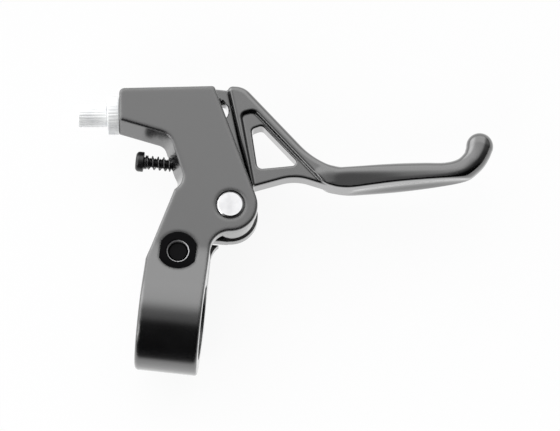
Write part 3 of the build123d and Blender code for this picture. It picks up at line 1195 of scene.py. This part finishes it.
@dataclass
class CableAdjuster:
    """The fluted barrel that the cable's housing sits in, and its lock ring; sizes in mm."""

    axis: Axis = field(
        default_factory=lambda: Axis(
            Vector((-22.534, 60.866, 0)) * MM,
            Vector((-0.992546, -0.121869, 0)).normalized(),
            Vector((0, 0, 1)),
        )
    )
    ring_from: float = 0.1
    ring_to: float = 3.6
    ring_r: float = 5.7
    knob_from: float = 3.9
    knob_to: float = 12.4
    knob_r: float = 3.35
    thread_r: float = 3.0
    thread_in: float = -11.0
    socket_r: float = 2.6
    socket_depth: float = 6.5
    cable_r: float = 1.3
    edge: float = 0.35
    lead: float = 0.3
    tip: float = 0.6
    socket_cone: float = 0.4
    ring_slack: float = 0.05
    ring_rim: float = 0.4
    ring_face: float = 1.0
    knob_rim: float = 0.34
    knob_band: float = 1.2
    ring_flutes: Flutes = field(default_factory=lambda: Flutes(34))
    knob_flutes: Flutes = field(default_factory=lambda: Flutes(22))

    def build_barrel(self) -> Piece:
        """Build the barrel: threaded shank, fluted knob, housing socket and cable hole.

        Returns:
            The barrel, riding on its body in place of the plain one.
        """
        step = 0.1
        thread = Thread(pitch=1.0, start=self.thread_in + self.lead, end=self.knob_from - self.tip)

        def shape(s: float, r: float, angle: float) -> Pair:
            """Thread the shank and flute the knob.

            Args:
                s: Distance along the axis, in mm.
                r: The outline's radius, in mm.
                angle: Turn about the axis.

            Returns:
                The distance along and the radius at that angle.
            """
            if r >= self.knob_r - self.knob_rim and s > self.knob_from - NEAR_MM:
                return s, self.knob_flutes.cut(r, self.knob_r, angle)
            if r >= self.thread_r - NEAR_MM and s < self.knob_from:
                return s, thread.cut(s, r, angle)
            return s, r

        e = self.edge
        floor = self.knob_to - self.socket_depth
        outline = [
            (self.thread_in, self.cable_r),
            (self.thread_in, self.thread_r - self.tip),
            *run(self.thread_in + self.tip, self.knob_from - step, self.thread_r, step),
            (self.knob_from, self.thread_r + 2 * NEAR_MM),
            *arc(self.knob_from + e, self.knob_r - e, e, 180, 90),
            (self.knob_to - self.knob_band, self.knob_r),
            *arc(self.knob_to - e, self.knob_r - e, e, 90, 0),
            (self.knob_to, self.socket_r + self.lead),
            (self.knob_to - self.lead, self.socket_r),
            (floor, self.socket_r),
            (floor - self.socket_cone, self.cable_r),
        ]
        piece = turned("barrel_fluted", self.axis, outline, shape, segments=176, looped=True)
        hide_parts("adjuster_barrel")
        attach(piece, Body.BARREL.value)
        return piece

    def build_ring(self) -> Piece:
        """Build the lock ring with its fluted rim.

        Returns:
            The ring, riding on its body in place of the plain one.
        """
        hole = self.thread_r + self.ring_slack
        face = self.ring_r - self.ring_face
        e = self.edge

        def shape(s: float, r: float, angle: float) -> Pair:
            """Flute the rim."""
            on_rim = r > self.ring_r - self.ring_rim
            return s, self.ring_flutes.cut(r, self.ring_r, angle) if on_rim else r

        outline = [
            (self.ring_from, hole + self.lead),
            (self.ring_from, face),
            *arc(self.ring_from + e, self.ring_r - e, e, 180, 90),
            *arc(self.ring_to - e, self.ring_r - e, e, 90, 0),
            (self.ring_to, face),
            (self.ring_to, hole + self.lead),
            (self.ring_to - self.lead, hole),
            (self.ring_from + self.lead, hole),
        ]
        piece = turned("lock_ring_fluted", self.axis, outline, shape, segments=272, looped=True)
        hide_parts("adjuster_lock_ring")
        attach(piece, Body.LOCK_RING.value)
        return piece

    def dress(self) -> None:
        """Give both pieces satin turned metal."""
        satin = TurnedMetal(self.axis, colour=(0.93, 0.94, 0.94), roughness=0.5, metallic=0.3)
        metal = coat("turned_alloy", satin.write)
        paint(self.build_barrel(), metal)
        paint(self.build_ring(), metal)


@dataclass
class ReachScrew:
    """The small cross-head screw that sets the lever's reach, and its spring; sizes in mm."""

    axis: Axis = field(
        default_factory=lambda: Axis(
            Vector((-13.75, 47.296, 0)) * MM, Vector((1, 0, 0)), Vector((0, 0, 1))
        )
    )
    head_r: float = 3.0
    head_t: float = 2.4
    shank_r: float = 1.5
    length: float = 16.0
    recess_l: float = 3.6
    recess_w: float = 0.75
    recess_depth: float = 1.3
    recess_draft: float = 0.12
    recess_slope: float = 0.7
    head_round: float = 1.1
    head_foot: float = 0.15
    neck: float = 0.1
    tip: float = 0.4
    spring_l: float = 8.55
    coil_r: float = 1.9
    wire_r: float = 0.22
    head_turns: float = 2.0
    seat_turns: float = 1.0
    # Pitch of the closed coils, in wire radii, and of the open ones
    closed_pitch: float = 2.1
    open_pitch: float = 1.5

    def build_screw(self) -> Piece:
        """Build the screw: pan head, cross recess and fine thread.

        Returns:
            The screw, riding on its body in place of the plain one.
        """
        thread = Thread(pitch=0.5, start=0.3, end=self.length - 0.2)
        top_step, e = 0.2, self.head_round
        outline = [
            (-self.head_t, top_step / 4),
            *((-self.head_t, top_step * k) for k in range(1, 10)),
            *arc(e - self.head_t, self.head_r - e, e, 180, 90, count=8),
            (-self.head_foot, self.head_r),
            (0.0, self.head_r - self.head_foot),
            (0.0, self.shank_r + self.neck),
            *run(self.neck, self.length - self.tip, self.shank_r, step=0.05),
            (self.length, self.shank_r - self.tip),
        ]

        def shape(s: float, r: float, angle: float) -> Pair:
            """Sink the cross into the head and thread the shank.

            Args:
                s: Distance along the axis, in mm.
                r: The outline's radius, in mm.
                angle: Turn about the axis.

            Returns:
                The distance along and the radius at that angle.
            """
            if s < 0:
                return s + self.recess(r * math.cos(angle), r * math.sin(angle)), r
            return s, thread.cut(s, r, angle)

        piece = turned("reach_screw_threaded", self.axis, outline, shape, segments=96, looped=False)
        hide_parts("reach_screw")
        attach(piece, Body.SCREW.value)
        return piece

    def recess(self, across: float, up: float) -> float:
        """Give how deep the cross recess is at a point of the head's top.

        Args:
            across: Distance across from the middle, in mm.
            up: Distance up from the middle, in mm.

        Returns:
            The depth in mm, 0 outside the cross.
        """
        near, far = sorted((abs(across), abs(up)))
        wall = (self.recess_w / 2 - near) / self.recess_draft + 0.5
        end = (self.recess_l / 2 - far) / self.recess_slope
        return self.recess_depth * min(1.0, max(0.0, wall)) * min(1.0, max(0.0, end))

    def build_spring(self) -> Piece:
        """Build the spring: closed coils at the head, open coils and a closed coil at the seat.

        Returns:
            The spring, coiled along the axis from the screw's head to the seat.
        """
        w, closed = self.wire_r, self.head_turns
        tight = self.closed_pitch * w
        open_l = self.spring_l - 2 * w - (closed + self.seat_turns) * tight
        open_turns = round(open_l / self.open_pitch)
        turns = closed + open_turns + self.seat_turns
        per_turn, sides = 28, 10
        steps = round(turns * per_turn)

        def s_at(turn: float) -> float:
            """Give the distance from the head after some turns.

            Args:
                turn: How many turns of the coil have gone by.

            Returns:
                The distance along the axis, in mm.
            """
            head = min(turn, closed) * tight
            middle = min(max(turn - closed, 0.0), open_turns) / open_turns * open_l
            seat = max(turn - closed - open_turns, 0.0) * tight
            return w + head + middle + seat

        rings = []
        for i in range(steps + 1):
            turn = turns * i / steps
            angle = TURN * turn
            centre = self.axis.point(s_at(turn), self.coil_r, angle)
            out = (self.axis.point(s_at(turn), self.coil_r + 1, angle) - centre).normalized()
            rounds = [TURN * k / sides for k in range(sides)]
            spokes = [out * math.cos(t) + self.axis.along * math.sin(t) for t in rounds]
            rings.append([centre + spoke * (w * MM) for spoke in spokes])
        piece = skin("reach_spring_coiled", rings, looped=False, crease_deg=60)
        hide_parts("reach_spring")
        seat = self.axis.point(self.spring_l, 0, 0)
        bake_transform(piece)
        return piece

    def dress(self) -> None:
        """Blacken the screw and oil the spring."""
        paint(self.build_screw(), coat("black_screw", BlackOxide(self.axis).write))
        paint(self.build_spring(), coat("spring_wire", DrawnWire().write))


@dataclass
class Studio:
    """The pale floor, the soft light and the camera; lengths in metres where no unit is named."""

    azimuth_deg: float = 6.3
    elevation_deg: float = 75.0
    target_mm: Place = (28.6, 35.3, 0.0)
    frame_w_mm: float = 167.2
    lens_mm: float = 350.0
    sensor_mm: float = 36.0
    floor_half: float = 4.0
    floor_gap: float = 0.0001
    floor_colour: Colour = (0.86, 0.86, 0.87)
    floor_shade: float = 0.98
    floor_far: Colour = (0.01, 0.01, 0.01)
    floor_white: float = 0.92
    # Places ahead of the bar where the paper is whole and where it has ended
    paper_front: float = -0.045
    paper_end: float = -0.075
    strip_place: Place = (-0.85, -0.58, 0.36)
    strip_size: Pair = (0.28, 0.7)
    strip_power: float = 2.0
    fill_place: Place = (-0.25, -0.7, 0.55)
    fill_size: Pair = (0.6, 0.6)
    fill_power: float = 4.0
    dim: float = 0.36
    bright: float = 1.4
    side_bright: float = 1.3
    # How far a direction leans to a side where that side's light or dark begins and is full
    behind_rise: Pair = (-0.05, 0.5)
    high_rise: Pair = (0.0, 0.35)
    low_share: float = 0.45
    left_rise: Pair = (0.35, 0.75)
    front_rise: Pair = (0.18, 0.42)
    front_left: Pair = (0.68, 0.88)
    right_rise: Pair = (0.3, 0.65)
    right_dark: float = 0.75

    def build_floor(self) -> None:
        """Lay the pale floor that the clamp's ring rests on; gloss sees it end before the part."""
        low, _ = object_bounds()
        z, half = low[2] - self.floor_gap, self.floor_half
        corners = [(-half, -half, z), (half, -half, z), (half, half, z), (-half, half, z)]
        data = bpy.data.meshes.new("floor")
        data.from_pydata(corners, [], [(0, 1, 2, 3)])
        floor = stand("floor", data)
        material = bpy.data.materials.new("floor_paper")
        material.use_nodes = True
        sheet = Sheet(material.node_tree)
        place = sheet.place()
        fibre = sheet.noise(place, width_mm=2.0, detail=3.0)
        near = sheet.part(place, (0, 1, 0)).step(self.paper_end, self.paper_front)
        shaded = tuple(self.floor_shade * c for c in self.floor_colour)
        pale = sheet.mix(fibre, self.floor_colour, shaded)
        colour = sheet.mix(near, self.floor_far, pale)
        paper = sheet.add("ShaderNodeBsdfDiffuse", None, {"Color": colour})
        white = sheet.add("ShaderNodeEmission", None, {"Color": (1, 1, 1, 1), "Strength": 1.0})
        rays = sheet.add("ShaderNodeLightPath").outputs
        mirrored = Value(sheet, rays["Is Glossy Ray"]).most(Value(sheet, rays["Is Transmission Ray"]))
        direct = Value(sheet, rays["Is Camera Ray"]) * (1 - near * (1 - self.floor_white))
        seen = direct.most(mirrored * near * self.floor_white)
        shaders = {0: seen, 1: paper.outputs[0], 2: white.outputs[0]}
        both = sheet.add("ShaderNodeMixShader", None, shaders)
        sheet.add("ShaderNodeOutputMaterial", None, {"Surface": both.outputs[0]})
        floor.data.materials.append(material)
        floor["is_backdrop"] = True

    def build_light(self) -> None:
        """Light the part from behind and the left, with a strip and a fill at the left front."""
        self.hang("side_strip", self.strip_place, self.strip_size, self.strip_power)
        fill = self.hang("front_fill", self.fill_place, self.fill_size, self.fill_power)
        fill.visible_glossy = False
        world = bpy.data.worlds.new("studio")
        bpy.context.scene.world = world
        world.use_nodes = True
        sheet = Sheet(world.node_tree)
        toward = sheet.add("ShaderNodeTexCoord").outputs["Generated"]
        ahead = sheet.part(toward, (0, 1, 0))
        left = sheet.part(toward, (-1, 0, 0))
        high = sheet.part(toward, (0, 0, 1))
        lifted = high.step(*self.high_rise) * (1 - self.low_share) + self.low_share
        behind = ahead.step(*self.behind_rise) * lifted
        light = self.dim + behind * self.bright + left.step(*self.left_rise) * self.side_bright
        front = (0 - ahead).step(*self.front_rise) * (1 - left.step(*self.front_left))
        right = (0 - left).step(*self.right_rise) * self.right_dark
        shade = light * (1 - front) * (1 - right)
        room = sheet.add("ShaderNodeBackground", None, {"Color": (1, 1, 1, 1), "Strength": shade})
        sheet.add("ShaderNodeOutputWorld", None, {"Surface": room.outputs[0]})

    def hang(self, name: str, place: Place, size: Pair, power: float) -> Piece:
        """Hang a rectangular soft light that faces the part.

        Args:
            name: The light's name.
            place: Where it hangs, in metres.
            size: Its width and height, in metres.
            power: Its power, in watts.

        Returns:
            The light's object.
        """
        lamp = bpy.data.lights.new(name, "AREA")
        lamp.shape = "RECTANGLE"
        lamp.size, lamp.size_y = size
        lamp.energy = power
        box = stand(name, lamp)
        box.location = place
        aim = Vector(self.target_mm) * MM - box.location
        box.rotation_euler = aim.to_track_quat("-Z", "Y").to_euler()
        return box

    def build_camera(self) -> None:
        """Set the camera at the photograph's angle, far off with a long lens."""
        a, e = math.radians(self.azimuth_deg), math.radians(self.elevation_deg)
        back = Vector((math.sin(a) * math.cos(e), -math.cos(a) * math.cos(e), math.sin(e)))
        data = bpy.data.cameras.new("camera")
        data.sensor_width = self.sensor_mm
        data.lens = self.lens_mm
        data.clip_end = 20.0
        camera = stand("camera", data)
        distance = self.frame_w_mm * MM * self.lens_mm / self.sensor_mm
        camera.location = Vector(self.target_mm) * MM + back * distance
        camera.rotation_euler = (-back).to_track_quat("-Z", "Y").to_euler()
        bpy.context.scene.camera = camera
        bpy.context.scene.view_settings.view_transform = "Standard"


def main() -> None:
    """Dress every sub-assembly, then set the studio."""
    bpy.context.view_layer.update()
    for assembly in (Bracket(), LeverArm(), Pivot(), ClampFastening(), CableAdjuster(), ReachScrew()):
        assembly.dress()
        log.info("finished %s", type(assembly).__name__)
    studio = Studio()
    studio.build_floor()
    studio.build_light()
    studio.build_camera()


if __name__ == "__main__":
    logging.basicConfig(level=logging.INFO)
    main()
